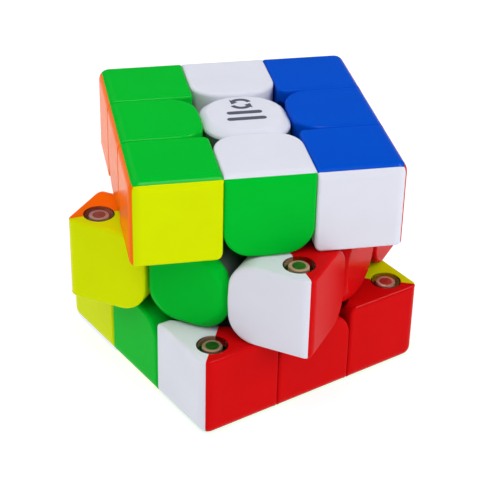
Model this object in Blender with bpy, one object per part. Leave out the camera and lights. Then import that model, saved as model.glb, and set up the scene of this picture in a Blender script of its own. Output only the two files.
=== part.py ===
"""Twisty puzzle cube: a 3 x 3 x 3 stickerless magnetic speed cube with two layers part turned.

Metres, +Z up. The origin is the centre of the core. +Z is the axis that the upper and the lower
layer turn about. The middle layer faces front along -Y and right along +X. The upper and lower
layers are parented to empties on that axis, which hold the angles they stand at.

The mechanism is made of planes and one ball surface. Outside the ball a piece fills its own cell
of the 3 x 3 x 3 grid. Inside the ball its foot reaches under the next pieces, down to planes that
lie nearer the middle, so each layer can turn and nothing can fall out.
"""

from math import cos, pi, radians, sin, tan

import bmesh
import bpy
from mathutils import Matrix, Vector

MM = 0.001

# Driving dimensions
CUBE_EDGE = 56.0 * MM
UPPER_TURN = radians(35.6)
LOWER_TURN = radians(-30.9)
GAP = 0.4 * MM                  # clearance between two pieces
WALL = 1.6 * MM                 # wall of every hollow shell
TRACK_RADIUS = 19.0 * MM        # ball surface between the outer shells and the feet
FOOT_PLANE = 6.0 * MM           # distance from the middle planes where the feet start
CORNER_FOOT_INSIDE = 14.0 * MM  # inner radius of the corner feet
TONGUE_INSIDE = 13.0 * MM       # inner radius of the edge tongues
STEM_RADIUS = 4.0 * MM          # stem that joins a corner foot to its shell
STEM_REACH = 23.0 * MM

TILE_CHAMFER = 0.8 * MM         # outer corners of a tile
EDGE_TILE_ROUND = 6.0 * MM      # corners of an edge tile that face the centre tile
EDGE_TILE_BOW = 0.5 * MM        # how far the inner side of an edge tile bulges
CENTRE_TILE_ROUND = 7.0 * MM
CAP_DISC_RADIUS = 8.0 * MM      # flat round face of a centre cap
CAP_SLOPE = 0.8 * MM            # drop from that face to the rim of the cap
CAP_SEAM = 22.6 * MM            # height of the lower rim of a cap above the core centre

CORE_HALF = 6.4 * MM
CORE_BEVEL = 2.0 * MM
ARM_RADIUS = 3.4 * MM
ARM_REACH = 8.6 * MM
PILOT_RADIUS = 1.6 * MM
PILOT_BOTTOM = 3.2 * MM

SHANK_RADIUS = 1.25 * MM
SCREW_TIP = 4.0 * MM
SCREW_POINT = 0.75 * MM          # radius and length of the point
HEAD_SEAT = 17.0 * MM
HEAD_RADIUS = 2.6 * MM
HEAD_HEIGHT = 1.7 * MM
HEAD_CROWN = 0.6 * MM           # bevel round the top of the head
SOCKET_RADIUS = 1.2 * MM
SOCKET_DEPTH = 0.9 * MM
SOCKET_SIDES = 6
WASHER_THICKNESS = 0.6 * MM
WASHER_RADIUS = 2.9 * MM
SEAT_GAP = 0.3 * MM             # gap between parts that rest on each other

COLUMN_RADIUS = 5.8 * MM
COLUMN_BOTTOM = 8.9 * MM
COLUMN_FLOOR = 1.5 * MM
BORE_RADIUS = 3.2 * MM
SHANK_HOLE_RADIUS = 1.7 * MM
TUBE_RADIUS = 4.7 * MM
COLLAR_INSIDE = 5.0 * MM
COLLAR_OUTSIDE = 6.2 * MM
COLLAR_BOTTOM = 21.3 * MM

SPRING_RADIUS = 2.2 * MM
SPRING_WIRE = 0.28 * MM
SPRING_TURNS = 4

# Facets of round surfaces
BALL_SEGMENTS = 20
ROUND_SEGMENTS = 12
PILOT_SEGMENTS = 8
ARC_STEPS = 3                   # outer rounds of a tile
HOLLOW_STEPS = 2                # rounds inside a shell
COIL_STEPS = 8
WIRE_SIDES = 4
SMOOTH_ANGLE = radians(32)
MERGE = 1e-6                    # points nearer than this are one point

HALF_EDGE = CUBE_EDGE / 2
HALF_PITCH = CUBE_EDGE / 6
HALF_GAP = GAP / 2
CELL_INNER = HALF_PITCH + HALF_GAP
CELL_HALF = HALF_PITCH - HALF_GAP
FOOT_INNER = FOOT_PLANE + HALF_GAP
FOOT_HALF = FOOT_PLANE - HALF_GAP
FAR = 40.0 * MM                 # beyond every piece, for cutters

WHITE, YELLOW, GREEN, BLUE, RED, ORANGE = "white", "yellow", "green", "blue", "red", "orange"
COLOURS = {
    WHITE: (0.730, 0.730, 0.800),
    YELLOW: (0.660, 0.790, 0.000),
    GREEN: (0.000, 0.465, 0.021),
    BLUE: (0.002, 0.076, 0.617),
    RED: (0.631, 0.005, 0.006),
    ORANGE: (1.000, 0.156, 0.000),
}
PLASTIC_ROUGHNESS = 0.32

# Colour of a tile, by the slice from left to right that its piece sits in and the way it faces.
# Every tile that faces left is orange and every tile that faces right is red.
SLICE_COLOURS = {
    -1: {"upper": GREEN, "front": YELLOW, "lower": BLUE, "back": WHITE},
    0: {"upper": WHITE, "front": GREEN, "lower": YELLOW, "back": BLUE},
    1: {"upper": BLUE, "front": WHITE, "lower": GREEN, "back": YELLOW},
}
FACE_NAMES = {
    (0, 0, 1): "upper",
    (0, 0, -1): "lower",
    (0, -1, 0): "front",
    (0, 1, 0): "back",
    (-1, 0, 0): "left",
    (1, 0, 0): "right",
}
LAYER_NAMES = {1: "upper", 0: "middle", -1: "lower"}


# Modelling helpers

def clear_scene():
    for item in list(bpy.data.objects):
        bpy.data.objects.remove(item, do_unlink=True)


def solid(bm):
    """A scratch object that holds the given bmesh, with its faces pointing out."""
    bmesh.ops.recalc_face_normals(bm, faces=bm.faces)
    mesh = bpy.data.meshes.new("solid")
    bm.to_mesh(mesh)
    bm.free()
    item = bpy.data.objects.new("solid", mesh)
    bpy.context.scene.collection.objects.link(item)
    return item


def combine(target, tool, operation):
    """Apply one exact Boolean to target and use the tool up."""
    modifier = target.modifiers.new("combine", "BOOLEAN")
    modifier.operation = operation
    modifier.solver = "EXACT"
    modifier.object = tool
    bpy.context.view_layer.update()
    evaluated = target.evaluated_get(bpy.context.evaluated_depsgraph_get())
    target.data = bpy.data.meshes.new_from_object(evaluated)
    target.modifiers.clear()
    bpy.data.objects.remove(tool, do_unlink=True)
    return target


def cut(target, tool):
    return combine(target, tool, "DIFFERENCE")


def join(target, tool):
    return combine(target, tool, "UNION")


def keep(target, tool):
    return combine(target, tool, "INTERSECT")


def box(low, high):
    bm = bmesh.new()
    bmesh.ops.create_cube(bm, size=1.0)
    for vert in bm.verts:
        for axis in range(3):
            vert.co[axis] = high[axis] if vert.co[axis] > 0 else low[axis]
    return solid(bm)


def cell_box(inner, outer):
    return box((inner,) * 3, (outer,) * 3)


def chamfered_box(low, high, chamfer):
    item = box(low, high)
    bm = bmesh.new()
    bm.from_mesh(item.data)
    bmesh.ops.bevel(bm, geom=bm.edges, offset=chamfer, segments=1, affect="EDGES")
    bpy.data.objects.remove(item, do_unlink=True)
    return solid(bm)


def cylinder(radius, low, high, segments=ROUND_SEGMENTS):
    bm = bmesh.new()
    middle = Matrix.Translation((0, 0, (low + high) / 2))
    bmesh.ops.create_cone(bm, cap_ends=True, segments=segments, radius1=radius, radius2=radius,
                          depth=high - low, matrix=middle)
    return solid(bm)


def ball(radius, outside=False):
    """A faceted ball: inside the given radius, or wholly outside it where it cuts a hollow."""
    if outside:
        radius = radius / cos(pi / BALL_SEGMENTS) ** 2
    bm = bmesh.new()
    bmesh.ops.create_uvsphere(bm, u_segments=BALL_SEGMENTS, v_segments=BALL_SEGMENTS // 2,
                              radius=radius)
    return solid(bm)


def turned(profile):
    """A solid of revolution about Z from a profile of (radius, height) points, axis to axis."""
    bm = bmesh.new()
    verts = [bm.verts.new((radius, 0, height)) for radius, height in profile]
    edges = [bm.edges.new(pair) for pair in zip(verts, verts[1:])]
    bmesh.ops.spin(bm, geom=verts + edges, cent=(0, 0, 0), axis=(0, 0, 1), angle=2 * pi,
                   steps=ROUND_SEGMENTS, use_merge=True)
    bmesh.ops.remove_doubles(bm, verts=bm.verts, dist=MERGE)
    return solid(bm)


def rounded_outline(corners, steps=ARC_STEPS):
    """Outline of a convex polygon, given as (x, y, corner radius).

    A large corner gets an arc, and a small one a chamfer.
    """
    points = []
    for index, (x, y, radius) in enumerate(corners):
        here = Vector((x, y))
        before = (Vector(corners[index - 1][:2]) - here).normalized()
        after = (Vector(corners[(index + 1) % len(corners)][:2]) - here).normalized()
        half = before.angle(after) / 2
        centre = here + (before + after).normalized() * radius / sin(half)
        start = here + before * radius / tan(half) - centre
        end = here + after * radius / tan(half) - centre
        sweep = start.angle(end)
        count = steps if radius > 2 * TILE_CHAMFER else 1
        for step in range(count + 1):
            share = step / count
            points.append(centre + (start * sin((1 - share) * sweep) + end * sin(share * sweep))
                          / sin(sweep))
    return points


def prism(outline, low, high):
    bm = bmesh.new()
    face = bm.faces.new([bm.verts.new((point.x, point.y, low)) for point in outline])
    side = bmesh.ops.extrude_face_region(bm, geom=[face])["geom"]
    risen = [part for part in side if isinstance(part, bmesh.types.BMVert)]
    bmesh.ops.translate(bm, verts=risen, vec=(0, 0, high - low))
    return solid(bm)


def swap_yz(item):
    """Mirror a scratch solid in the plane y = z and turn its faces out again."""
    bm = bmesh.new()
    bm.from_mesh(item.data)
    for vert in bm.verts:
        vert.co = (vert.co.x, vert.co.z, vert.co.y)
    bpy.data.objects.remove(item, do_unlink=True)
    return solid(bm)


def along_diagonal(item):
    """Turn a scratch solid that lies along Z onto the line x = y = z."""
    turn = Vector((0, 0, 1)).rotation_difference(Vector((1, 1, 1)))
    item.data.transform(turn.to_matrix().to_4x4())
    return item


def split_colours(item, normals):
    """Give each coloured shell of a piece its own material index, split along the diagonals."""
    bm = bmesh.new()
    bm.from_mesh(item.data)
    for index, first in enumerate(normals):
        for second in normals[index + 1:]:
            bmesh.ops.bisect_plane(bm, geom=bm.verts[:] + bm.edges[:] + bm.faces[:],
                                   dist=MERGE / 10, plane_co=(0, 0, 0), plane_no=first - second)
    for face in bm.faces:
        centre = face.calc_center_median()
        face.material_index = max(range(len(normals)), key=lambda side: centre @ normals[side])
    bm.to_mesh(item.data)
    bm.free()
    return item


def finished_mesh(item, name):
    """Take the mesh off a scratch solid, name it and shade its round faces smooth."""
    mesh = item.data
    mesh.name = name
    mesh.shade_smooth()
    mesh.set_sharp_from_angle(angle=SMOOTH_ANGLE)
    bpy.data.objects.remove(item, do_unlink=True)
    return mesh


# Parts, each modelled where it sits on +Z, on the edge +Y +Z or at the corner +X +Y +Z

def core_mesh():
    """Rounded block with six arms, each with a pilot hole for a tension screw."""
    half = CORE_HALF
    core = chamfered_box((-half,) * 3, (half,) * 3, CORE_BEVEL)
    for axis in "ZXY":
        arm = cylinder(ARM_RADIUS, -ARM_REACH, ARM_REACH)
        turn_from_z(arm, axis)
        join(core, arm)
    for axis in "ZXY":
        for side in (-1, 1):
            ends = sorted((side * PILOT_BOTTOM, side * (ARM_REACH + GAP)))
            pilot = cylinder(PILOT_RADIUS, ends[0], ends[1], PILOT_SEGMENTS)
            turn_from_z(pilot, axis)
            cut(core, pilot)
    return finished_mesh(core, "core")


def turn_from_z(item, axis):
    if axis == "X":
        item.data.transform(Matrix.Rotation(pi / 2, 4, "Y"))
    if axis == "Y":
        item.data.transform(Matrix.Rotation(pi / 2, 4, "X"))


def screw_mesh():
    """Tension screw with a pan head and a hexagon socket."""
    top = HEAD_SEAT + HEAD_HEIGHT
    screw = turned([(0, SCREW_TIP), (SCREW_POINT, SCREW_TIP),
                    (SHANK_RADIUS, SCREW_TIP + SCREW_POINT), (SHANK_RADIUS, HEAD_SEAT),
                    (HEAD_RADIUS, HEAD_SEAT), (HEAD_RADIUS, top - HEAD_CROWN),
                    (HEAD_RADIUS - HEAD_CROWN, top), (0, top)])
    cut(screw, cylinder(SOCKET_RADIUS, top - SOCKET_DEPTH, top + GAP, SOCKET_SIDES))
    return finished_mesh(screw, "tension_screw")


def washer_mesh():
    top = HEAD_SEAT - SEAT_GAP
    washer = cylinder(WASHER_RADIUS, top - WASHER_THICKNESS, top)
    cut(washer, cylinder(SHANK_HOLE_RADIUS, 0, FAR))
    return finished_mesh(washer, "spring_washer")


def spring_mesh():
    """Compression spring between the floor of the centre base and the washer."""
    low = COLUMN_BOTTOM + COLUMN_FLOOR + SEAT_GAP + SPRING_WIRE
    high = HEAD_SEAT - 2 * SEAT_GAP - WASHER_THICKNESS - SPRING_WIRE
    bm = bmesh.new()
    rings = []
    count = SPRING_TURNS * COIL_STEPS
    for step in range(count + 1):
        angle = 2 * pi * step / COIL_STEPS
        height = low + (high - low) * step / count
        ring = []
        for side in range(WIRE_SIDES):
            around = 2 * pi * side / WIRE_SIDES
            reach = SPRING_RADIUS + SPRING_WIRE * cos(around)
            ring.append(bm.verts.new((reach * cos(angle), reach * sin(angle),
                                      height + SPRING_WIRE * sin(around))))
        rings.append(ring)
    for first, second in zip(rings, rings[1:]):
        for side in range(WIRE_SIDES):
            after = (side + 1) % WIRE_SIDES
            bm.faces.new((first[side], first[after], second[after], second[side]))
    bm.faces.new(rings[0])
    bm.faces.new(rings[-1])
    return finished_mesh(solid(bm), "tension_spring")


def centre_outline(inset=0.0):
    """Outline of a centre tile: a square with large round corners, coarser inside the shell."""
    half = CELL_HALF - inset
    radius = CENTRE_TILE_ROUND - inset
    return rounded_outline([(half, half, radius), (-half, half, radius),
                            (-half, -half, radius), (half, -half, radius)],
                           HOLLOW_STEPS if inset else ARC_STEPS)


def centre_base_mesh():
    """Cup on a column: the column runs on the screw and the spring sits in its bore."""
    top = CAP_SEAM - SEAT_GAP
    base = prism(centre_outline(), COLUMN_BOTTOM + GAP, top)
    cut(base, ball(TRACK_RADIUS + HALF_GAP, outside=True))
    hollow = prism(centre_outline(WALL), TRACK_RADIUS + WALL, top + GAP)
    cut(hollow, cylinder(TUBE_RADIUS, 0, FAR))
    cut(base, hollow)
    join(base, cylinder(COLUMN_RADIUS, COLUMN_BOTTOM, TRACK_RADIUS + WALL / 2))
    cut(base, cylinder(BORE_RADIUS, COLUMN_BOTTOM + COLUMN_FLOOR, FAR))
    cut(base, cylinder(SHANK_HOLE_RADIUS, 0, FAR))
    return finished_mesh(base, "centre_base")


def centre_cap_mesh():
    """Removable cap: a flat disc that slopes to the rounded square rim, with a snap collar."""
    rim = centre_outline()
    bm = bmesh.new()
    low = [bm.verts.new((point.x, point.y, CAP_SEAM)) for point in rim]
    high = [bm.verts.new((point.x, point.y, HALF_EDGE - CAP_SLOPE)) for point in rim]
    disc = []
    for point in rim:
        reach = point.normalized() * CAP_DISC_RADIUS
        disc.append(bm.verts.new((reach.x, reach.y, HALF_EDGE)))
    for lower, upper in ((low, high), (high, disc)):
        for index in range(len(rim)):
            after = (index + 1) % len(rim)
            bm.faces.new((lower[index], lower[after], upper[after], upper[index]))
    bm.faces.new(low)
    bm.faces.new(disc)
    cap = solid(bm)
    ceiling = HALF_EDGE - CAP_SLOPE - WALL
    cut(cap, prism(centre_outline(WALL), CAP_SEAM - GAP, ceiling))
    collar = cylinder(COLLAR_OUTSIDE, COLLAR_BOTTOM, ceiling + WALL / 2)
    cut(collar, cylinder(COLLAR_INSIDE, 0, ceiling))
    return finished_mesh(join(cap, collar), "centre_cap")


def edge_outline(inset=0.0):
    """Outline of an edge tile in x and y: large rounds and a slight bow face the centre tile."""
    half = CELL_HALF - inset
    inner = CELL_INNER + inset
    outer = HALF_EDGE - inset
    small = TILE_CHAMFER
    large = EDGE_TILE_ROUND - inset
    return rounded_outline([(half, outer, small), (-half, outer, small),
                            (-half, inner + EDGE_TILE_BOW, large), (0, inner, small),
                            (half, inner + EDGE_TILE_BOW, large)],
                           HOLLOW_STEPS if inset else ARC_STEPS)


def edge_body(inset=0.0):
    """The cell of an edge piece, cut to the tile outline along both of its faces."""
    inner = CELL_INNER + inset
    outer = HALF_EDGE - inset
    body = prism(edge_outline(inset), inner, outer)
    return keep(body, swap_yz(prism(edge_outline(inset), inner, outer)))


def edge_mesh():
    """Hollow edge piece: two coloured shells on one tongue that hooks under two centres."""
    edge = edge_body()
    track = ball(TRACK_RADIUS + HALF_GAP, outside=True)
    stem_half = FOOT_HALF - HALF_GAP
    cut(track, box((-stem_half, -FAR, -FAR), (stem_half, FAR, FAR)))
    cut(edge, track)
    tongue = box((-FOOT_HALF, FOOT_INNER, FOOT_INNER), (FOOT_HALF, FAR, FAR))
    keep(tongue, ball(TRACK_RADIUS - HALF_GAP))
    cut(tongue, ball(TONGUE_INSIDE, outside=True))
    join(edge, tongue)
    cut(edge, edge_body(WALL))
    split_colours(edge, [Vector((0, 0, 1)), Vector((0, 1, 0))])
    return finished_mesh(edge, "edge")


def corner_shell_mesh():
    """Hollow corner: three coloured shells, open at the inner corner for the stem of the foot."""
    shell = chamfered_box((CELL_INNER,) * 3, (HALF_EDGE,) * 3, TILE_CHAMFER)
    cut(shell, ball(TRACK_RADIUS + HALF_GAP, outside=True))
    cut(shell, cell_box(CELL_INNER + WALL, HALF_EDGE - WALL))
    cut(shell, along_diagonal(cylinder(STEM_RADIUS + SEAT_GAP, 0, STEM_REACH)))
    split_colours(shell, [Vector((0, 0, 1)), Vector((0, 1, 0)), Vector((1, 0, 0))])
    return finished_mesh(shell, "corner_shell")


def corner_foot_mesh():
    """Foot of a corner: a ball-shaped hook with a stem that fills the inner corner of the shell."""
    foot = cell_box(FOOT_INNER, FAR)
    keep(foot, ball(TRACK_RADIUS - HALF_GAP))
    cut(foot, ball(CORNER_FOOT_INSIDE, outside=True))
    stem = along_diagonal(cylinder(STEM_RADIUS, CORNER_FOOT_INSIDE + WALL, STEM_REACH))
    keep(stem, cell_box(CELL_INNER, FAR))
    return finished_mesh(join(foot, stem), "corner_foot")


# Materials

def material(name, colour, roughness, metallic=0.0):
    made = bpy.data.materials.new(name)
    made.use_nodes = True
    shader = made.node_tree.nodes["Principled BSDF"]
    shader.inputs["Base Color"].default_value = (*colour, 1.0)
    shader.inputs["Roughness"].default_value = roughness
    shader.inputs["Metallic"].default_value = metallic
    made.diffuse_color = (*colour, 1.0)
    return made


def make_materials():
    made = {name: material(name + "_plastic", rgb, PLASTIC_ROUGHNESS)
            for name, rgb in COLOURS.items()}
    made["grey"] = material("grey_plastic", (0.045, 0.050, 0.050), 0.45)
    made["core"] = material("core_plastic", (0.020, 0.020, 0.022), 0.50)
    made["steel"] = material("plated_steel", (0.560, 0.560, 0.570), 0.28, 1.0)
    made["spring"] = material("spring_steel", (0.450, 0.450, 0.460), 0.35, 1.0)
    return made


# Assembly

def place(name, mesh, orientation, layer, materials):
    """One named piece: its mesh is turned into place and carried by the empty of its layer."""
    item = bpy.data.objects.new(name, mesh)
    bpy.context.scene.collection.objects.link(item)
    item.parent = layer
    item.rotation_euler = orientation.to_euler()
    while len(mesh.materials) < len(materials):
        mesh.materials.append(None)
    for slot, chosen in zip(item.material_slots, materials):
        slot.link = "OBJECT"
        slot.material = chosen
    return item


def layer_empties():
    """Empties on the turning axis, by the height of the layer they carry."""
    empties = {}
    for height, turn in ((1, UPPER_TURN), (0, 0.0), (-1, LOWER_TURN)):
        empty = bpy.data.objects.new(LAYER_NAMES[height] + "_layer_axis", None)
        empty.rotation_euler = (0, 0, turn)
        bpy.context.scene.collection.objects.link(empty)
        empties[height] = empty
    return empties


def orientations(first, tilts):
    """Turns that carry the first position to every other of its kind, by position."""
    found = {}
    for tilt in tilts:
        for quarter in range(4):
            turn = Matrix.Rotation(quarter * pi / 2, 3, "Z") @ tilt
            position = tuple(round(value) for value in turn @ Vector(first))
            found.setdefault(position, turn)
    return found


def tile_colour(position, turn, normal):
    """Colour of the tile that faces along normal before the piece is turned into place."""
    face = FACE_NAMES[tuple(round(value) for value in turn @ normal)]
    if face == "left":
        return ORANGE
    if face == "right":
        return RED
    return SLICE_COLOURS[position[0]][face]


def position_name(position):
    x, y, z = position
    words = [LAYER_NAMES[z]]
    if y:
        words.append("front" if y < 0 else "back")
    if x:
        words.append("left" if x < 0 else "right")
    return "_".join(words)


def build():
    clear_scene()
    materials = make_materials()
    layers = layer_empties()
    upright = Matrix.Identity(3)
    flipped = Matrix.Rotation(pi, 3, "X")
    up, back, right = Vector((0, 0, 1)), Vector((0, 1, 0)), Vector((1, 0, 0))

    place("core", core_mesh(), upright, layers[0], [materials["core"]])

    screw, washer, spring = screw_mesh(), washer_mesh(), spring_mesh()
    base, cap = centre_base_mesh(), centre_cap_mesh()
    centre_tilts = (upright, Matrix.Rotation(pi / 2, 3, "X"), flipped)
    for position, turn in orientations((0, 0, 1), centre_tilts).items():
        face = FACE_NAMES[position]
        layer = layers[position[2]]
        colour = materials[tile_colour(position, turn, up)]
        place("tension_screw_" + face, screw, turn, layers[0], [materials["steel"]])
        place("spring_washer_" + face, washer, turn, layers[0], [materials["steel"]])
        place("tension_spring_" + face, spring, turn, layers[0], [materials["spring"]])
        place("centre_base_" + face, base, turn, layer, [materials["grey"]])
        place("centre_cap_" + face, cap, turn, layer, [colour])

    edge = edge_mesh()
    edge_tilts = (upright, Matrix.Rotation(pi / 2, 3, "Y"), flipped)
    for position, turn in orientations((0, 1, 1), edge_tilts).items():
        colours = [materials[tile_colour(position, turn, normal)] for normal in (up, back)]
        place("edge_" + position_name(position), edge, turn, layers[position[2]], colours)

    shell, foot = corner_shell_mesh(), corner_foot_mesh()
    for position, turn in orientations((1, 1, 1), (upright, flipped)).items():
        name = position_name(position)
        layer = layers[position[2]]
        colours = [materials[tile_colour(position, turn, normal)] for normal in (up, back, right)]
        place("corner_shell_" + name, shell, turn, layer, colours)
        place("corner_foot_" + name, foot, turn, layer, [materials["grey"]])


build()
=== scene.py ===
"""Looks of the twisty puzzle cube: each shell, tongue, foot, magnet and cap is its own piece.

Pieces are modelled once, where they sit on +Z, on the edge +Y +Z or at the corner +X +Y +Z, and
then turned into each of their places. Metres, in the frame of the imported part.
"""

from math import cos, pi, radians, sin, sqrt, tan

import bmesh
import bpy
from mathutils import Matrix, Vector


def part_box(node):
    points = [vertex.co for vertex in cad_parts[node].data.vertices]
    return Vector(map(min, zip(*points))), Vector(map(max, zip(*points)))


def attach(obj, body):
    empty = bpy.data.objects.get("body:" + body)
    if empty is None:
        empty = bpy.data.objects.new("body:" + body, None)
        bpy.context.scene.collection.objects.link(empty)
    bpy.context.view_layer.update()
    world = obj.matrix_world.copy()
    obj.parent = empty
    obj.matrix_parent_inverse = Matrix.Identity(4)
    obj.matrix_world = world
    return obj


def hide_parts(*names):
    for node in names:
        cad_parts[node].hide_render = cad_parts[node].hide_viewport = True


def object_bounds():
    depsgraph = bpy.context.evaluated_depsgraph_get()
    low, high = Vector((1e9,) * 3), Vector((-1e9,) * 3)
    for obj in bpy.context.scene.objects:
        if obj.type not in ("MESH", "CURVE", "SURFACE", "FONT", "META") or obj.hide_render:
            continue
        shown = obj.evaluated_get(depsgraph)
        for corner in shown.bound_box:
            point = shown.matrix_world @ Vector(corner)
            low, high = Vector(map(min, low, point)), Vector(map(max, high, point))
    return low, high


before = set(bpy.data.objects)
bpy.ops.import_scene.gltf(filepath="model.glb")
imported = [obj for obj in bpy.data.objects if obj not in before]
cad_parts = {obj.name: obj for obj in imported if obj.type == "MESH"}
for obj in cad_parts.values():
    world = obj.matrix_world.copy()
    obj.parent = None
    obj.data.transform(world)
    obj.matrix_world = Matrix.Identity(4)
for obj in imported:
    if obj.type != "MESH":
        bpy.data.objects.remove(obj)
CAD_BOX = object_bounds()

MM = 0.001

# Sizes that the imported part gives
HALF_EDGE = CAD_BOX[1].z
HALF_PITCH = HALF_EDGE / 3
FOOT_GAP = HALF_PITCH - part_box("edge_middle_front_right")[1].z
FOOT_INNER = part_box("edge_middle_front_right")[0].x
FOOT_HALF = FOOT_INNER - 2 * FOOT_GAP
BASE_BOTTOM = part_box("centre_base_right")[0].x

# Sizes of the mechanism, as in the part
UPPER_TURN = radians(35.6)
LOWER_TURN = radians(-30.9)
TRACK_RADIUS = 19.0 * MM
CORNER_FOOT_INSIDE = 14.0 * MM
TONGUE_INSIDE = 13.0 * MM
STEM_RADIUS = 4.0 * MM
WALL = 1.6 * MM
COLUMN_RADIUS = 5.8 * MM
BORE_RADIUS = 3.2 * MM
SHANK_HOLE_RADIUS = 1.7 * MM
TUBE_RADIUS = 4.7 * MM

# Sizes of the mechanism that differ from the part's or aren't in it
STEM_REACH = 33.0 * MM          # longer, since the backs of the shells lie further out here
COLUMN_FLOOR = 1.0 * MM         # thinner, since the spring is rigid here and a centre lifts
TONGUE_BLOCK = 5.4 * MM         # height of the block that stands up from a tongue

# Fine shape of the tiles
TILE_GAP = 0.06 * MM            # gap between two tiles, finer than the part's clearance
CELL_HALF = HALF_PITCH - TILE_GAP / 2
CELL_INNER = HALF_PITCH + TILE_GAP / 2
HALF_GAP = 0.1 * MM             # clearance on each side of the faces that slide on each other
CORNER_FILLETS = {"outer": 2.5 * MM, "side": 0.8 * MM, "inner": 1.8 * MM}
EDGE_FILLETS = {"outer": 2.5 * MM, "side": 0.8 * MM}
FILLET_FULLNESS = 0.54          # profile of a fillet, where 0.5 is a circle and 1 a sharp edge
BACK_DROP = 1.0 * MM            # how far a corner reaches behind its three inner tile corners
CORNER_BACK = (HALF_EDGE + 2 * CELL_INNER) / sqrt(3) - BACK_DROP   # along the diagonal
EDGE_TILE_ROUND = 6.0 * MM
EDGE_TILE_BOW = 0.5 * MM
CENTRE_TILE_ROUND = 7.0 * MM
CAP_DISC_RADIUS = 7.9 * MM
CAP_DISC_DROP = 0.1 * MM        # the disc of a centre cap lies just below the tiles
CAP_SLOPE = 0.9 * MM
CAP_RIM_ROUND = 0.9 * MM
CAP_RIM_SWEEP = radians(60)     # how far the round of the rim turns before the slope starts
CAP_SLOPE_SHARES = (0.35, 0.7, 0.9, 1.0)    # rings of the slope, from the rim to the disc
CAP_THICKNESS = 2.0 * MM
CAP_SEAM = HALF_EDGE - CAP_THICKNESS
SEAM = 0.012 * MM               # half of the joint between two coloured shells
STEM_GAP = 0.3 * MM
GLUE_LINE = 0.02 * MM           # gap between parts that are glued together

# Magnets in their capsules, on the faces where two pieces meet
CAPSULE_PLACE = HALF_EDGE - 5.2 * MM
POCKET_RADIUS = 3.35 * MM
POCKET_DEPTH = 1.5 * MM
CAPSULE_RADIUS = 3.28 * MM
CAPSULE_WALL = 0.25 * MM
CAPSULE_RIM = 0.12 * MM
CAPSULE_RIM_SWEEP = radians(150)
WINDOW_RADIUS = CAPSULE_RADIUS - 3 * CAPSULE_RIM
WINDOW_TOP = 0.07 * MM
WINDOW_BOTTOM = 0.16 * MM
MAGNET_TOP = 0.26 * MM
MAGNET_RADIUS = 2.15 * MM
DOT_RADIUS = 1.42 * MM
DOT_RISE = 0.06 * MM
MAGNET_BEVEL = 3 * DOT_RISE
CAPSULE_BOTTOM = POCKET_DEPTH - GLUE_LINE

# Printed mark on the upper cap
MARK_THICKNESS = 0.03 * MM
MARK_SINK = 0.02 * MM
ARROWS_CENTRE = Vector((0, 4.5)) * MM
ARROW_INSIDE = 1.5 * MM
ARROW_OUTSIDE = 2.5 * MM
ARROW_HEAD = 1.1 * MM           # half of the width of an arrow's head
ARROW_STARTS = (radians(20), radians(200))
ARROW_SWEEP = radians(115)
ARROW_POINT = radians(45)
MARK_BARS = ((0.3 * MM, 3.8 * MM), (-2.6 * MM, 4.2 * MM))   # height and half length of each bar
BAR_HALF = 0.7 * MM

# Facets
BALL_SEGMENTS = 96
ARC_STEPS = 14
ROUND_SEGMENTS = 48
FILLET_STEPS = 5
TILE_FILLET_STEPS = 8
SHARP_ANGLE = radians(28)
FLAT_ANGLE = radians(0.5)       # faces that meet at less are merged before rounding
RIM_ANGLE = radians(45)         # edges that are flatter than this aren't rims of a tile
ON_PLANE = 1e-6
MERGE_DISTANCE = 1e-7

WHITE, YELLOW, GREEN, BLUE, RED, ORANGE = "white", "yellow", "green", "blue", "red", "orange"
SLICE_COLOURS = {
    -1: {"upper": GREEN, "front": YELLOW, "lower": BLUE, "back": WHITE},
    0: {"upper": WHITE, "front": GREEN, "lower": YELLOW, "back": BLUE},
    1: {"upper": BLUE, "front": WHITE, "lower": GREEN, "back": YELLOW},
}
FACE_NAMES = {
    (0, 0, 1): "upper",
    (0, 0, -1): "lower",
    (0, -1, 0): "front",
    (0, 1, 0): "back",
    (-1, 0, 0): "left",
    (1, 0, 0): "right",
}
LAYER_NAMES = {1: "upper", 0: "middle", -1: "lower"}
LAYER_TURNS = {1: UPPER_TURN, 0: 0.0, -1: LOWER_TURN}
RIGHT, BACK, UP = Vector((1, 0, 0)), Vector((0, 1, 0)), Vector((0, 0, 1))
DIAGONAL = RIGHT + BACK + UP
FAR = 40.0 * MM


# Modelling helpers

def solid(bm):
    """A scratch object that holds the given bmesh, with its faces pointing out."""
    bmesh.ops.recalc_face_normals(bm, faces=bm.faces)
    mesh = bpy.data.meshes.new("solid")
    bm.to_mesh(mesh)
    bm.free()
    item = bpy.data.objects.new("solid", mesh)
    bpy.context.scene.collection.objects.link(item)
    return item


def drop(item):
    bpy.data.objects.remove(item, do_unlink=True)


def combine(target, tool, operation):
    """Apply one exact Boolean to target and use the tool up."""
    modifier = target.modifiers.new("combine", "BOOLEAN")
    modifier.operation = operation
    modifier.solver = "EXACT"
    modifier.object = tool
    bpy.context.view_layer.update()
    evaluated = target.evaluated_get(bpy.context.evaluated_depsgraph_get())
    target.data = bpy.data.meshes.new_from_object(evaluated)
    target.modifiers.clear()
    drop(tool)
    return target


def cut(target, tool):
    return combine(target, tool, "DIFFERENCE")


def join(target, tool):
    return combine(target, tool, "UNION")


def keep(target, tool):
    return combine(target, tool, "INTERSECT")


def copy_of(item):
    twin = bpy.data.objects.new("solid", item.data.copy())
    bpy.context.scene.collection.objects.link(twin)
    return twin


def box(low, high):
    bm = bmesh.new()
    bmesh.ops.create_cube(bm, size=1.0)
    for vert in bm.verts:
        for axis in range(3):
            vert.co[axis] = high[axis] if vert.co[axis] > 0 else low[axis]
    return solid(bm)


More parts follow.
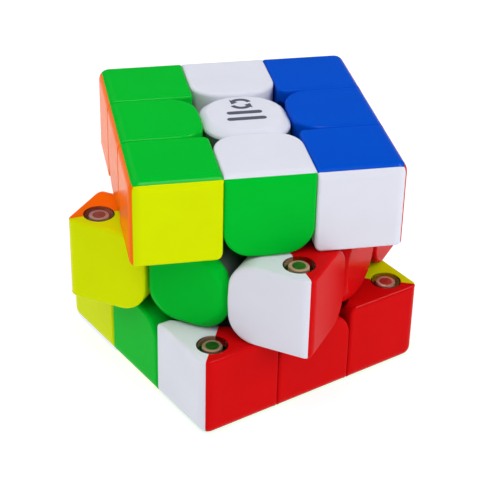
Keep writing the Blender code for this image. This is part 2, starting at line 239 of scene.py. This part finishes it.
def cylinder(radius, low, high):
    bm = bmesh.new()
    middle = Matrix.Translation((0, 0, (low + high) / 2))
    bmesh.ops.create_cone(bm, cap_ends=True, segments=ROUND_SEGMENTS, radius1=radius,
                          radius2=radius, depth=high - low, matrix=middle)
    return solid(bm)


def ball(radius):
    bm = bmesh.new()
    bmesh.ops.create_uvsphere(bm, u_segments=BALL_SEGMENTS, v_segments=BALL_SEGMENTS // 2,
                              radius=radius)
    return solid(bm)


def turned(profile):
    """A solid of revolution about Z from a closed or axis-to-axis profile of (radius, height)."""
    bm = bmesh.new()
    verts = [bm.verts.new((radius, 0, height)) for radius, height in profile]
    edges = [bm.edges.new(pair) for pair in zip(verts, verts[1:])]
    if profile[0][0] > 0:
        edges.append(bm.edges.new((verts[-1], verts[0])))
    bmesh.ops.spin(bm, geom=verts + edges, cent=(0, 0, 0), axis=(0, 0, 1), angle=2 * pi,
                   steps=ROUND_SEGMENTS, use_merge=True)
    bmesh.ops.remove_doubles(bm, verts=bm.verts, dist=MERGE_DISTANCE)
    return solid(bm)


def on_circle(centre, radius, angle):
    return centre[0] + radius * cos(angle), centre[1] + radius * sin(angle)


def arc(centre, radius, start, end, steps=FILLET_STEPS):
    """Points on an arc in a profile, from one angle to another."""
    return [on_circle(centre, radius, start + (end - start) * step / steps)
            for step in range(steps + 1)]


def rounded_outline(corners):
    """Outline of a convex polygon, given as (x, y, corner radius), with an arc at each corner."""
    points = []
    for index, (x, y, radius) in enumerate(corners):
        here = Vector((x, y))
        if radius == 0:
            points.append(here)
            continue
        before = (Vector(corners[index - 1][:2]) - here).normalized()
        after = (Vector(corners[(index + 1) % len(corners)][:2]) - here).normalized()
        half = before.angle(after) / 2
        centre = here + (before + after).normalized() * radius / sin(half)
        start = here + before * radius / tan(half) - centre
        end = here + after * radius / tan(half) - centre
        sweep = start.angle(end)
        for step in range(ARC_STEPS + 1):
            share = step / ARC_STEPS
            points.append(centre + (start * sin((1 - share) * sweep) + end * sin(share * sweep))
                          / sin(sweep))
    return points


def prism(outline, low, high):
    bm = bmesh.new()
    face = bm.faces.new([bm.verts.new((point.x, point.y, low)) for point in outline])
    side = bmesh.ops.extrude_face_region(bm, geom=[face])["geom"]
    risen = [part for part in side if isinstance(part, bmesh.types.BMVert)]
    bmesh.ops.translate(bm, verts=risen, vec=(0, 0, high - low))
    return solid(bm)


def loft(rings):
    """A closed solid through rings of points, which all hold the same number of points."""
    bm = bmesh.new()
    levels = [[bm.verts.new(point) for point in ring] for ring in rings]
    for lower, upper in zip(levels, levels[1:]):
        for index in range(len(lower)):
            after = (index + 1) % len(lower)
            bm.faces.new((lower[index], lower[after], upper[after], upper[index]))
    bm.faces.new(levels[0])
    bm.faces.new(levels[-1])
    return solid(bm)


def swap_yz(item):
    """Mirror a scratch solid in the plane y = z and turn its faces out again."""
    bm = bmesh.new()
    bm.from_mesh(item.data)
    for vert in bm.verts:
        vert.co = (vert.co.x, vert.co.z, vert.co.y)
    drop(item)
    return solid(bm)


def along_diagonal(item):
    """Turn a scratch solid that lies along Z onto the line x = y = z."""
    turn = UP.rotation_difference(DIAGONAL)
    item.data.transform(turn.to_matrix().to_4x4())
    return item


def round_edges(item, choose, radii):
    """Round the edges for which choose gives a key of radii, all in one pass."""
    widest = max(radii.values())
    bm = bmesh.new()
    bm.from_mesh(item.data)
    bmesh.ops.dissolve_limit(bm, angle_limit=FLAT_ANGLE, verts=bm.verts, edges=bm.edges)
    weights = bm.edges.layers.float.new("bevel_weight_edge")
    for edge in bm.edges:
        key = choose(edge)
        if key:
            edge[weights] = radii[key] / widest
    bm.to_mesh(item.data)
    bm.free()
    modifier = item.modifiers.new("round", "BEVEL")
    modifier.width = widest
    modifier.segments = TILE_FILLET_STEPS
    modifier.profile = FILLET_FULLNESS
    modifier.limit_method = "WEIGHT"
    modifier.use_clamp_overlap = False
    bpy.context.view_layer.update()
    evaluated = item.evaluated_get(bpy.context.evaluated_depsgraph_get())
    item.data = bpy.data.meshes.new_from_object(evaluated)
    item.modifiers.clear()
    return item


def sector(normal, others):
    """Wedge of space that is nearer to one face direction than to the others, for one shell."""
    bm = bmesh.new()
    bmesh.ops.create_cube(bm, size=4 * FAR)
    for other in others:
        across = (normal - other).normalized()
        cutting = bmesh.ops.bisect_plane(bm, geom=bm.verts[:] + bm.edges[:] + bm.faces[:],
                                         plane_co=across * SEAM, plane_no=across,
                                         clear_inner=True)
        rim = [part for part in cutting["geom_cut"] if isinstance(part, bmesh.types.BMEdge)]
        bmesh.ops.contextual_create(bm, geom=rim)
    return solid(bm)


def finished_mesh(item, name):
    """Take the mesh off a scratch solid, name it and shade its round faces smooth."""
    mesh = item.data
    mesh.name = name
    mesh.materials.clear()
    mesh.shade_smooth()
    mesh.set_sharp_from_angle(angle=SHARP_ANGLE)
    drop(item)
    return mesh


# Shapes

def on_plane(edge, axis, value):
    return all(abs(vert.co[axis] - value) < ON_PLANE for vert in edge.verts)


def corner_fillet_kind(edge):
    """Which fillet an edge of the corner's cell gets."""
    outer = sum(on_plane(edge, axis, HALF_EDGE) for axis in range(3))
    inner = sum(on_plane(edge, axis, CELL_INNER) for axis in range(3))
    if outer == 2:
        return "outer"
    return "inner" if inner == 2 else "side"


def capsule_matrix(axis, seat, height):
    """Stands a capsule modelled on +Z in its seat, with its window out along -axis."""
    turn = UP.rotation_difference(-axis).to_matrix().to_4x4()
    return Matrix.Translation(seat + axis * height) @ turn


def pocket(axis, seat, height):
    """Cutter of the pocket that a capsule sits in."""
    tool = cylinder(POCKET_RADIUS, -POCKET_DEPTH - HALF_GAP, POCKET_DEPTH)
    tool.data.transform(capsule_matrix(axis, seat, height))
    return tool


def capsule_seats(kind):
    """Where the magnets of a piece sit: (inward axis, point in the plane, height of the face)."""
    if kind == "edge":
        seat = (BACK + UP) * CAPSULE_PLACE
        return [(RIGHT, seat, -CELL_HALF), (-RIGHT, seat, -CELL_HALF)]
    return [(axis, (DIAGONAL - axis) * CAPSULE_PLACE, CELL_INNER)
            for axis in (UP, BACK, RIGHT)]


def behind_corner(reach):
    """Cutter of all that lies nearer than reach to the middle, along the line x = y = z."""
    return along_diagonal(box((-FAR, -FAR, -FAR), (FAR, FAR, reach)))


def corner_shells():
    """The three coloured shells of a corner, which show along +Z, +Y and +X."""
    body = round_edges(box((CELL_INNER,) * 3, (HALF_EDGE,) * 3), corner_fillet_kind, CORNER_FILLETS)
    cut(body, behind_corner(CORNER_BACK))
    hollow = box((CELL_INNER + WALL,) * 3, (HALF_EDGE - WALL,) * 3)
    cut(body, cut(hollow, behind_corner(CORNER_BACK + WALL)))
    cut(body, along_diagonal(cylinder(STEM_RADIUS + STEM_GAP, 0, STEM_REACH)))
    for axis, seat, height in capsule_seats("corner"):
        cut(body, pocket(axis, seat, height))
    return split(body, (UP, BACK, RIGHT), "corner_shell")


def split(body, normals, name):
    """Part a body along its diagonals into one shell for each direction."""
    shells = []
    for normal in normals:
        others = [other for other in normals if other != normal]
        shell = keep(copy_of(body), sector(normal, others))
        shells.append(finished_mesh(shell, name))
    drop(body)
    return shells


def corner_foot():
    """Foot of a corner: a ball-shaped hook with a stem that plugs into the shells."""
    foot = box((FOOT_INNER,) * 3, (FAR,) * 3)
    keep(foot, ball(TRACK_RADIUS - HALF_GAP))
    cut(foot, ball(CORNER_FOOT_INSIDE))
    stem = along_diagonal(cylinder(STEM_RADIUS, CORNER_FOOT_INSIDE + WALL, STEM_REACH))
    keep(stem, box((CELL_INNER,) * 3, (FAR,) * 3))
    return finished_mesh(join(foot, stem), "corner_foot")


def edge_outline(inset=0.0):
    """Outline of an edge tile in x and y: large rounds and a slight bow face the centre tile."""
    half = CELL_HALF - inset
    inner = CELL_INNER + inset
    outer = HALF_EDGE - inset
    large = EDGE_TILE_ROUND - inset
    bend = 3 * large
    return rounded_outline([(half, outer, 0), (-half, outer, 0),
                            (-half, inner + EDGE_TILE_BOW, large), (0, inner, bend),
                            (half, inner + EDGE_TILE_BOW, large)])


def edge_body(inset=0.0):
    """The cell of an edge piece, cut to the tile outline along both of its faces."""
    inner = CELL_INNER + inset
    outer = HALF_EDGE - inset
    body = prism(edge_outline(inset), inner, outer)
    return keep(body, swap_yz(prism(edge_outline(inset), inner, outer)))


def edge_fillet_kind(edge):
    """Which fillet an edge gets: the rims of the two tile faces are rounded, and nothing else."""
    if edge.calc_face_angle(0) < RIM_ANGLE:
        return None
    faces = sum(on_plane(edge, axis, HALF_EDGE) for axis in (1, 2))
    return (None, "side", "outer")[faces]


def edge_shells():
    """The two coloured shells of an edge piece, which show along +Z and +Y."""
    body = round_edges(edge_body(), edge_fillet_kind, EDGE_FILLETS)
    cut(body, ball(TRACK_RADIUS + HALF_GAP))
    cut(body, edge_body(WALL))
    for axis, seat, height in capsule_seats("edge"):
        cut(body, pocket(axis, seat, height))
    return split(body, (UP, BACK), "edge_shell")


def edge_tongue():
    """Grey tongue of an edge piece, with a block that stands up into its shells."""
    tongue = box((-FOOT_HALF, FOOT_INNER, FOOT_INNER), (FOOT_HALF, FAR, FAR))
    keep(tongue, ball(TRACK_RADIUS - HALF_GAP))
    cut(tongue, ball(TONGUE_INSIDE))
    low = CELL_INNER + HALF_GAP
    high = low + TONGUE_BLOCK
    width = FOOT_HALF - HALF_GAP
    return finished_mesh(join(tongue, box((-width, low, low), (width, high, high))), "edge_tongue")


def centre_outline(inset=0.0):
    half = CELL_HALF - inset
    radius = CENTRE_TILE_ROUND - inset
    return rounded_outline([(half, half, radius), (-half, half, radius),
                            (-half, -half, radius), (half, -half, radius)])


def centre_cap():
    """Cap of a centre: a plate with a flat disc and a slope that widens into a rounded square."""
    rim = HALF_EDGE - CAP_DISC_DROP - CAP_SLOPE
    rings = [[(point.x, point.y, height) for point in centre_outline()]
             for height in (CAP_SEAM, rim - CAP_RIM_ROUND)]
    for step in range(1, FILLET_STEPS + 1):
        angle = CAP_RIM_SWEEP * step / FILLET_STEPS
        inset = CAP_RIM_ROUND * (1 - cos(angle))
        height = rim - CAP_RIM_ROUND * (1 - sin(angle))
        rings.append([(point.x, point.y, height) for point in centre_outline(inset)])
    shoulder = rings[-1]
    for share in CAP_SLOPE_SHARES:
        ring = []
        for x, y, z in shoulder:
            outward = Vector((x, y)).normalized() * CAP_DISC_RADIUS
            flat = Vector((x, y)).lerp(outward, share)
            rise = sin(share * pi / 2)
            ring.append((flat.x, flat.y, z + (HALF_EDGE - CAP_DISC_DROP - z) * rise))
        rings.append(ring)
    return finished_mesh(loft(rings), "centre_cap")


def centre_base():
    """Cup on a column: the column runs on the screw and the spring sits in its bore."""
    base = prism(centre_outline(GLUE_LINE), BASE_BOTTOM + HALF_GAP, CAP_SEAM - GLUE_LINE)
    cut(base, ball(TRACK_RADIUS + HALF_GAP))
    hollow = prism(centre_outline(WALL), TRACK_RADIUS + WALL, FAR)
    cut(hollow, cylinder(TUBE_RADIUS, 0, 2 * FAR))
    cut(base, hollow)
    join(base, cylinder(COLUMN_RADIUS, BASE_BOTTOM, TRACK_RADIUS + WALL / 2))
    cut(base, cylinder(BORE_RADIUS, BASE_BOTTOM + COLUMN_FLOOR, FAR))
    cut(base, cylinder(SHANK_HOLE_RADIUS, 0, FAR))
    return finished_mesh(base, "centre_base")


def capsule_mesh():
    """Clear round cap over a magnet: a window with a rounded rim, and a skirt down the pocket."""
    inside = CAPSULE_RADIUS - CAPSULE_WALL
    profile = [(0, -WINDOW_TOP), (WINDOW_RADIUS, -WINDOW_TOP)]
    profile += arc((CAPSULE_RADIUS - CAPSULE_RIM, -CAPSULE_RIM), CAPSULE_RIM,
                   CAPSULE_RIM_SWEEP, 0)
    profile += [(CAPSULE_RADIUS, -CAPSULE_BOTTOM), (inside, -CAPSULE_BOTTOM),
                (inside, -WINDOW_BOTTOM), (0, -WINDOW_BOTTOM)]
    return finished_mesh(turned(profile), "capsule")


def magnet_mesh():
    """Round magnet with a bevelled rim and a raised painted dot that marks its pole."""
    profile = [(0, DOT_RISE - MAGNET_TOP)]
    profile += arc((DOT_RADIUS - DOT_RISE, -MAGNET_TOP), DOT_RISE, pi / 2, 0)
    profile += arc((MAGNET_RADIUS - MAGNET_BEVEL, -MAGNET_TOP - MAGNET_BEVEL), MAGNET_BEVEL,
                   pi / 2, 0)
    profile += [(MAGNET_RADIUS, -CAPSULE_BOTTOM), (0, -CAPSULE_BOTTOM)]
    mesh = finished_mesh(turned(profile), "magnet")
    for face in mesh.polygons:
        face.material_index = int(face.center.xy.length < DOT_RADIUS
                                  and face.center.z > -MAGNET_TOP)
    return mesh


def mark_mesh():
    """A plain printed mark: a ring of two arrows above two bars."""
    outlines = []
    middle = (ARROW_INSIDE + ARROW_OUTSIDE) / 2
    for start in ARROW_STARTS:
        end = start + ARROW_SWEEP
        outline = arc(ARROWS_CENTRE, ARROW_OUTSIDE, start, end, ARC_STEPS)
        outline += [on_circle(ARROWS_CENTRE, middle + ARROW_HEAD, end),
                    on_circle(ARROWS_CENTRE, middle, end + ARROW_POINT),
                    on_circle(ARROWS_CENTRE, middle - ARROW_HEAD, end)]
        outline += arc(ARROWS_CENTRE, ARROW_INSIDE, end, start, ARC_STEPS)
        outlines.append([Vector(point) for point in outline])
    for height, half in MARK_BARS:
        corners = [(half, height + BAR_HALF, BAR_HALF), (-half, height + BAR_HALF, BAR_HALF),
                   (-half, height - BAR_HALF, BAR_HALF), (half, height - BAR_HALF, BAR_HALF)]
        outlines.append(rounded_outline(corners))
    mark = prism(outlines[0], -MARK_SINK, MARK_THICKNESS)
    for outline in outlines[1:]:
        join(mark, prism(outline, -MARK_SINK, MARK_THICKNESS))
    return finished_mesh(mark, "mark")


# Materials

MOTTLE_SCALE = 90.0             # noise cells in a metre
GLOSS_SCALE = 500.0
GRAIN_SCALE = 1500.0
GRAIN_DETAIL = 3.0
GRAIN_DEPTH = 0.004 * MM
NOISE_LOW, NOISE_HIGH = 0.3, 0.7    # part of the noise that is spread out
TILE_GLOSS = 0.019
TILE_ROUGHNESS = 0.22


def node(tree, kind, **inputs):
    """A shader node with its inputs set, given as input_name=value."""
    made = tree.nodes.new(kind)
    for name, value in inputs.items():
        made.inputs[name.replace("_", " ")].default_value = value
    return made


def noise(tree, scale, detail=2.0):
    """Noise in object space, so that it stays with the piece."""
    place = tree.nodes.new("ShaderNodeTexCoord")
    made = node(tree, "ShaderNodeTexNoise", Scale=scale, Detail=detail)
    tree.links.new(place.outputs["Object"], made.inputs["Vector"])
    return made


def ranged(tree, source, low, high):
    """The noise's middle spread over the range from low to high."""
    made = tree.nodes.new("ShaderNodeMapRange")
    for name, value in zip(("From Min", "From Max", "To Min", "To Max"),
                           (NOISE_LOW, NOISE_HIGH, low, high)):
        made.inputs[name].default_value = value
    tree.links.new(source.outputs["Fac"], made.inputs["Value"])
    return made


def surface(name, colour, roughness, spread=0.03, shade=0.02, grain=0.15, metallic=0.0,
            **sockets):
    """Moulded or plated surface: slight mottle in colour and gloss, and a fine grain."""
    made = bpy.data.materials.new(name)
    made.use_nodes = True
    tree = made.node_tree
    shader = tree.nodes["Principled BSDF"]
    mix = tree.nodes.new("ShaderNodeMix")
    mix.data_type = "RGBA"
    mix.inputs["A"].default_value = (*[part * (1 - shade) for part in colour], 1)
    mix.inputs["B"].default_value = (*[min(1.0, part * (1 + shade)) for part in colour], 1)
    mottle = ranged(tree, noise(tree, MOTTLE_SCALE), 0.0, 1.0)
    tree.links.new(mottle.outputs["Result"], mix.inputs["Factor"])
    tree.links.new(mix.outputs["Result"], shader.inputs["Base Color"])
    gloss = ranged(tree, noise(tree, GLOSS_SCALE), roughness - spread, roughness + spread)
    tree.links.new(gloss.outputs["Result"], shader.inputs["Roughness"])
    bump = node(tree, "ShaderNodeBump", Strength=grain, Distance=GRAIN_DEPTH)
    tree.links.new(noise(tree, GRAIN_SCALE, GRAIN_DETAIL).outputs["Fac"], bump.inputs["Height"])
    tree.links.new(bump.outputs["Normal"], shader.inputs["Normal"])
    shader.inputs["Metallic"].default_value = metallic
    for socket, value in sockets.items():
        shader.inputs[socket.replace("_", " ")].default_value = value
    return made


def tile_plastic(name, colour):
    """Satin plastic, coloured right through."""
    return surface(name + "_plastic", colour, TILE_ROUGHNESS, Specular_IOR_Level=TILE_GLOSS)


TILE_COLOURS = {
    WHITE: (0.708, 0.720, 0.808),
    YELLOW: (0.640, 0.760, 0.000),
    GREEN: (0.000, 0.480, 0.026),
    BLUE: (0.000, 0.074, 0.570),
    RED: (0.590, 0.003, 0.004),
    ORANGE: (0.900, 0.150, 0.001),
}


def make_materials():
    made = {name: tile_plastic(name, colour) for name, colour in TILE_COLOURS.items()}
    # Grey plastic of the tongues, feet and bases. The slight green-teal cast of this grey is
    # painted reflection of the green plastic nearby, not the colour of the plastic itself.
    made["grey"] = surface("grey_plastic", (0.080, 0.100, 0.095), 0.40)
    made["core"] = surface("core_plastic", (0.022, 0.022, 0.024), 0.50)
    made["steel"] = surface("plated_steel", (0.560, 0.560, 0.570), 0.26, metallic=1.0)
    made["spring"] = surface("spring_steel", (0.450, 0.450, 0.460), 0.33, metallic=1.0)
    made["magnet"] = surface("magnet_metal", (0.430, 0.350, 0.330), 0.35, metallic=0.4)
    made["clear"] = surface("clear_plastic", (0.90, 0.73, 0.65), 0.05, spread=0.02, grain=0.02,
                            Transmission_Weight=1.0, IOR=1.25)
    made["green_dot"] = surface("green_paint", (0.010, 0.095, 0.010), 0.18)
    made["red_dot"] = surface("red_paint", (0.240, 0.030, 0.028), 0.18)
    made["ink"] = surface("mark_ink", (0.045, 0.054, 0.095), 0.50)
    return made


# Assembly

def orientations(first, tilts):
    """Turns that carry the first position to every other of its kind, by position."""
    found = {}
    for tilt in tilts:
        for quarter in range(4):
            turn = Matrix.Rotation(quarter * pi / 2, 3, "Z") @ tilt
            position = tuple(round(value) for value in turn @ Vector(first))
            found.setdefault(position, turn)
    return found


def face_of(turn, normal):
    return FACE_NAMES[tuple(round(value) for value in turn @ normal)]


def tile_colour(position, face):
    if face == "left":
        return ORANGE
    if face == "right":
        return RED
    return SLICE_COLOURS[position[0]][face]


def position_name(position):
    x, y, z = position
    words = [LAYER_NAMES[z]]
    if y:
        words.append("front" if y < 0 else "back")
    if x:
        words.append("left" if x < 0 else "right")
    return "_".join(words)


def place(name, mesh, position, turn, body, slot, materials, stands_for=(), local=None):
    """One piece: a copy of the mesh, turned into place, riding on a body of the part."""
    item = bpy.data.objects.new(name, mesh.copy())
    bpy.context.scene.collection.objects.link(item)
    for chosen in materials:
        item.data.materials.append(chosen)
    layer = Matrix.Rotation(LAYER_TURNS[position[2]], 4, "Z")
    item.data.transform(layer @ turn.to_4x4() @ (local or Matrix.Identity(4)))
    weigh = item.modifiers.new("even_flats", "WEIGHTED_NORMAL")
    weigh.keep_sharp = True
    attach(item, body)
    if stands_for:
        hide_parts(*stands_for)


def place_capsules(kind, name, position, turn, body, meshes, materials):
    """The magnets of one piece and the clear capsules over them, on the faces it turns away."""
    for axis, seat, height in capsule_seats(kind):
        signs = [round(value) for value in turn @ seat.normalized() * 2]
        odd = sum(sign < 0 for sign in signs) % 2
        dot = "green_dot" if odd else "red_dot"
        local = capsule_matrix(axis, seat, height)
        label = name + "_" + face_of(turn, -axis)
        place("magnet_" + label, meshes["magnet"], position, turn, body, "magnet_metal",
              [materials["magnet"], materials[dot]], local=local)
        place("capsule_" + label, meshes["capsule"], position, turn, body, "clear_plastic",
              [materials["clear"]], local=local)


def build_edges(materials, meshes):
    shells, tongue = edge_shells(), edge_tongue()
    tilts = (Matrix.Identity(3), Matrix.Rotation(pi / 2, 3, "Y"), Matrix.Rotation(pi, 3, "X"))
    for position, turn in orientations((0, 1, 1), tilts).items():
        name = "edge_" + position_name(position)
        body = LAYER_NAMES[position[2]] + "_layer"
        for shell, normal in zip(shells, (UP, BACK)):
            face = face_of(turn, normal)
            colour = tile_colour(position, face)
            place(name + "_shell_" + face, shell, position, turn, body, colour + "_plastic",
                  [materials[colour]], [name])
        place(name + "_tongue", tongue, position, turn, body, "grey_plastic",
              [materials["grey"]], [name])
        place_capsules("edge", name, position, turn, body, meshes, materials)


def build_corners(materials, meshes):
    shells, foot = corner_shells(), corner_foot()
    tilts = (Matrix.Identity(3), Matrix.Rotation(pi, 3, "X"))
    for position, turn in orientations((1, 1, 1), tilts).items():
        where = position_name(position)
        body = LAYER_NAMES[position[2]] + "_layer"
        for shell, normal in zip(shells, (UP, BACK, RIGHT)):
            face = face_of(turn, normal)
            colour = tile_colour(position, face)
            place("corner_" + where + "_shell_" + face, shell, position, turn, body,
                  colour + "_plastic", [materials[colour]], ["corner_shell_" + where])
        place("corner_" + where + "_foot", foot, position, turn, body, "grey_plastic",
              [materials["grey"]], ["corner_foot_" + where])
        place_capsules("corner", "corner_" + where, position, turn, body, meshes, materials)


def build_centres(materials):
    cap, base = centre_cap(), centre_base()
    tilts = (Matrix.Identity(3), Matrix.Rotation(pi / 2, 3, "X"), Matrix.Rotation(pi, 3, "X"))
    for position, turn in orientations((0, 0, 1), tilts).items():
        face = FACE_NAMES[position]
        colour = tile_colour(position, face)
        body = face + "_centre"
        place("cap_" + face, cap, position, turn, body, colour + "_plastic",
              [materials[colour]], ["centre_cap_" + face])
        place("base_" + face, base, position, turn, body, "grey_plastic",
              [materials["grey"]], ["centre_base_" + face])
    disc = Matrix.Translation(UP * (HALF_EDGE - CAP_DISC_DROP))
    place("mark", mark_mesh(), (0, 0, 1), Matrix.Identity(3), "upper_centre", "mark_ink",
          [materials["ink"]], local=disc)


CAD_LOOKS = {
    "core": "core",
    "tension_screw": "steel",
    "spring_washer": "steel",
    "tension_spring": "spring",
}


def dress_cad_nodes(materials):
    """Materials of the CAD nodes that show as they are, by the start of their names."""
    for name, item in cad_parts.items():
        for start, chosen in CAD_LOOKS.items():
            if name.startswith(start):
                item.data.materials.clear()
                item.data.materials.append(materials[chosen])


# Stage

CAMERA_PLACE = Vector((115.1, -256.5, 163.98)) * MM
CAMERA_TARGET = Vector((0.2, -1.5, -2.32)) * MM
CAMERA_ROLL = radians(1.19)
CAMERA_LENS = 111.1
SENSOR = 36.0
CLIP_START, CLIP_END = 0.01, 10.0
FLOOR_DROP = 0.05 * MM          # keeps the sheet clear of the tiles that stand on it
FLOOR_SIZE = 2.0
PAPER_SHADE = 0.45
PAPER_GLOW = 0.70               # the sheet is partly self-lit, so that it shows white
SURROUND_STRENGTH = 0.22
SOFT_BOX_SIZE = 0.6
SOFT_BOXES = {                  # place in metres and power in watts
    "front": ((0.10, -0.50, 0.86), 3.8),
    "right": ((0.85, -0.20, 0.48), 3.1),
    "left": ((-0.85, -0.20, 0.48), 2.9),
    "back_right": ((0.70, 0.35, 0.62), 2.4),
    "back_left": ((-0.62, 0.35, 0.70), 1.8),
}
GLINT_SIZE = 0.3
GLINT_POWER = 15.0
GLINTS = {                      # lamps that only gloss sees, for the bright lines along the rims
    "overhead": (0.05, -0.05, 1.00),
    "right": (0.55, 0.30, 0.78),
}


def make_camera():
    data = bpy.data.cameras.new("camera")
    data.lens = CAMERA_LENS
    data.sensor_width = SENSOR
    data.clip_start = CLIP_START
    data.clip_end = CLIP_END
    camera = bpy.data.objects.new("camera", data)
    bpy.context.scene.collection.objects.link(camera)
    aim = (CAMERA_TARGET - CAMERA_PLACE).to_track_quat("-Z", "Y").to_matrix().to_4x4()
    roll = Matrix.Rotation(CAMERA_ROLL, 4, "Z")
    camera.matrix_world = Matrix.Translation(CAMERA_PLACE) @ aim @ roll
    bpy.context.scene.camera = camera


def area_light(name, spot, size, power, glints_only=False):
    """A square lamp that points at the middle of the cube."""
    data = bpy.data.lights.new(name, "AREA")
    data.shape = "SQUARE"
    data.size = size
    data.energy = power
    light = bpy.data.objects.new(name, data)
    bpy.context.scene.collection.objects.link(light)
    light.visible_diffuse = light.visible_transmission = not glints_only
    light.location = spot
    light.rotation_euler = (-Vector(spot)).to_track_quat("-Z", "Y").to_euler()


def make_stage():
    """White sheet under the cube, a dim surround, soft boxes all round and the glint lamps."""
    bm = bmesh.new()
    bmesh.ops.create_grid(bm, x_segments=1, y_segments=1, size=FLOOR_SIZE)
    floor = solid(bm)
    floor.name = "floor"
    floor.location.z = CAD_BOX[0].z - FLOOR_DROP
    paper = surface("floor_paper", (PAPER_SHADE,) * 3, 0.8, shade=0.01, Specular_IOR_Level=0.0,
                    Emission_Strength=PAPER_GLOW, Emission_Color=(1, 1, 1, 1))
    paper.cycles.emission_sampling = "NONE"
    floor.data.materials.append(paper)
    world = bpy.data.worlds.new("surround")
    bpy.context.scene.world = world
    world.use_nodes = True
    background = world.node_tree.nodes["Background"]
    background.inputs["Color"].default_value = (1.0, 1.0, 1.0, 1.0)
    background.inputs["Strength"].default_value = SURROUND_STRENGTH
    for side, (spot, power) in SOFT_BOXES.items():
        area_light(side + "_soft_box", spot, SOFT_BOX_SIZE, power)
    for side, spot in GLINTS.items():
        area_light(side + "_glint", spot, GLINT_SIZE, GLINT_POWER, glints_only=True)
    bpy.context.scene.view_settings.view_transform = "Standard"


def build():
    materials = make_materials()
    meshes = {"magnet": magnet_mesh(), "capsule": capsule_mesh()}
    build_edges(materials, meshes)
    build_corners(materials, meshes)
    build_centres(materials)
    dress_cad_nodes(materials)
    make_camera()
    make_stage()


build()
